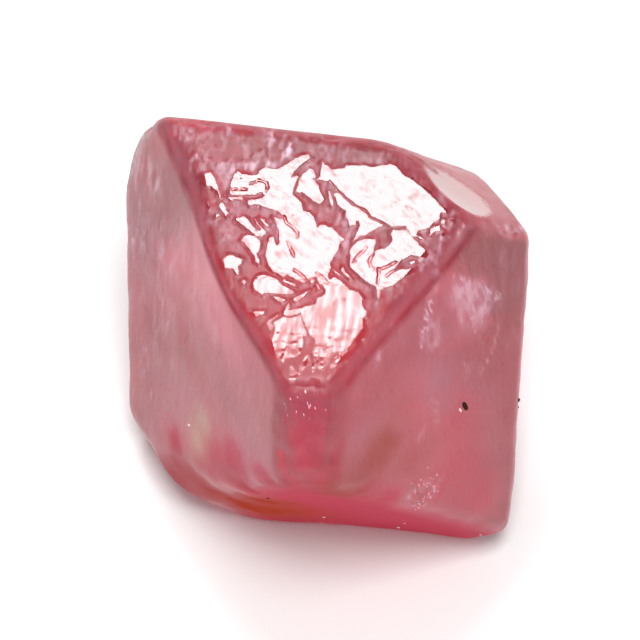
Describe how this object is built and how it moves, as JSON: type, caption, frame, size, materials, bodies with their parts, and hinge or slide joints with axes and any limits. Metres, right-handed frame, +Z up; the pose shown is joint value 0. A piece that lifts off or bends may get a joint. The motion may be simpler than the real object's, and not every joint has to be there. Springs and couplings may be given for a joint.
{
  "type": "spinel octahedron",
  "caption": "Natural pink spinel octahedron, a single waterworn translucent crystal with etched plates on its top face and a chipped corner, resting on one face.",
  "frame": {"origin": "middle of the bounding box at the face the crystal rests on", "axes": "+Z up, square to the resting face and the top face; +X along the top face's back edge; +Y towards the back"},
  "size_m": [0.008, 0.0086, 0.0079],
  "materials": {
    "spinel": "translucent pink natural crystal, glossy on the etched top plates, finely waterworn and satin on the other faces"
  },
  "bodies": {
    "root": {"spinel_crystal": "spinel"}
  },
  "joints": []
}
